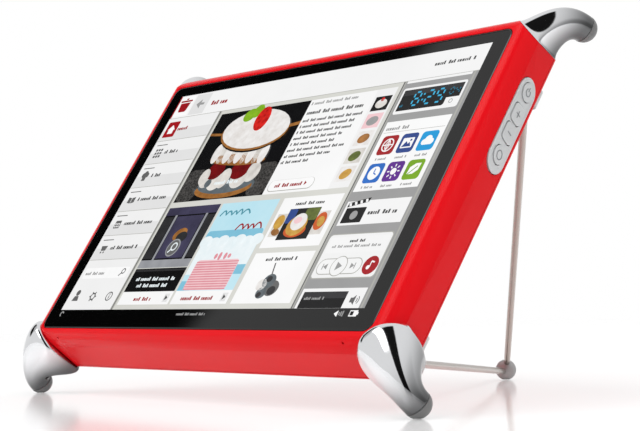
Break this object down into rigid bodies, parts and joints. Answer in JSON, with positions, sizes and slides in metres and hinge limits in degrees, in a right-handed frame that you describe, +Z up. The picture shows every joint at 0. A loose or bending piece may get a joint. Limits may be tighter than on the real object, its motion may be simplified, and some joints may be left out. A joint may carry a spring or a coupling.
{
  "type": "smart display",
  "caption": "Kitchen smart display: ten-inch touch screen in a bevelled red shell on horn-shaped chrome corner feet, leaning back on a folding wire leg with a ball end.",
  "frame": {"origin": "middle of the footprint's bounding box, on the surface that the feet and the ball of the leg stand on", "axes": "+X to the right across the screen, +Y from the screen towards the back, +Z up"},
  "size_m": [0.2846, 0.2074, 0.1621],
  "materials": {
    "red_shell": "gloss",
    "screen_glass": "polished",
    "display": "satin",
    "chrome_foot": "polished",
    "grey_cap": "satin",
    "steel_wire": "polished",
    "steel_screw": "satin",
    "silver_key": "satin",
    "ball": "satin",
    "black_foam": "matte",
    "alloy": "satin",
    "circuit_board": "satin",
    "cell": "matte",
    "black_plastic": "matte"
  },
  "bodies": {
    "housing": {"front_frame": "red_shell", "rear_cover": "red_shell", "touch_glass": "screen_glass", "display_gasket": "black_foam", "lcd_panel": "display", "chassis_plate": "alloy", "processor_shield": "alloy", "wifi_module": "alloy", "display_ribbon": "black_plastic", "power_inlet": "black_plastic", "speaker_left": "black_plastic", "speaker_right": "black_plastic", "battery_pack": "cell", "main_board": "circuit_board", "button_board": "circuit_board", "wifi_antenna": "steel_screw", "usb_port": "steel_screw", "card_reader": "steel_screw", "microphone_left": "steel_screw", "microphone_right": "steel_screw", "button_panel": "silver_key", "stand_bracket_upper": "silver_key", "stand_bracket_lower": "silver_key", "foot_lower_left": "chrome_foot", "foot_lower_right": "chrome_foot", "foot_upper_left": "chrome_foot", "foot_upper_right": "chrome_foot", "foot_cap_lower_left": "grey_cap", "foot_cap_lower_right": "grey_cap", "foot_cap_upper_left": "grey_cap", "foot_cap_upper_right": "grey_cap", "foot_screw_lower_left": "steel_screw", "foot_screw_lower_right": "steel_screw", "foot_screw_upper_left": "steel_screw", "foot_screw_upper_right": "steel_screw", "board_screw_1": "steel_screw", "board_screw_2": "steel_screw", "board_screw_3": "steel_screw", "board_screw_4": "steel_screw", "cover_screw_1": "steel_screw", "cover_screw_2": "steel_screw", "cover_screw_3": "steel_screw", "cover_screw_4": "steel_screw", "cover_screw_5": "steel_screw", "cover_screw_6": "steel_screw", "bracket_screw_upper": "steel_screw", "bracket_screw_lower": "steel_screw"},
    "stand": {"stand_upper_rod": "steel_wire", "stand_lower_rod": "steel_wire", "stand_ball_foot": "ball"},
    "power_key": {"power_button": "silver_key"},
    "plus_key": {"plus_button": "silver_key"},
    "minus_key": {"minus_button": "silver_key"},
    "home_key": {"home_button": "silver_key"}
  },
  "joints": [
    {"name": "stand_fold", "type": "hinge", "parent": "housing", "child": "stand", "pos_m": [0.116, -0.03349, 0.0793], "axis": [0, 0.5676, 0.8233], "range_deg": [0, 51.4]},
    {"name": "power_press", "type": "slide", "parent": "housing", "child": "power_key", "axis": [-0.9662, -0.2122, 0.1463], "range_m": [0, 0.0006], "stiffness_N_per_m": 800},
    {"name": "plus_press", "type": "slide", "parent": "housing", "child": "plus_key", "axis": [-0.9662, -0.2122, 0.1463], "range_m": [0, 0.0006], "stiffness_N_per_m": 800},
    {"name": "minus_press", "type": "slide", "parent": "housing", "child": "minus_key", "axis": [-0.9662, -0.2122, 0.1463], "range_m": [0, 0.0006], "stiffness_N_per_m": 800},
    {"name": "home_press", "type": "slide", "parent": "housing", "child": "home_key", "axis": [-0.9662, -0.2122, 0.1463], "range_m": [0, 0.0006], "stiffness_N_per_m": 800}
  ]
}
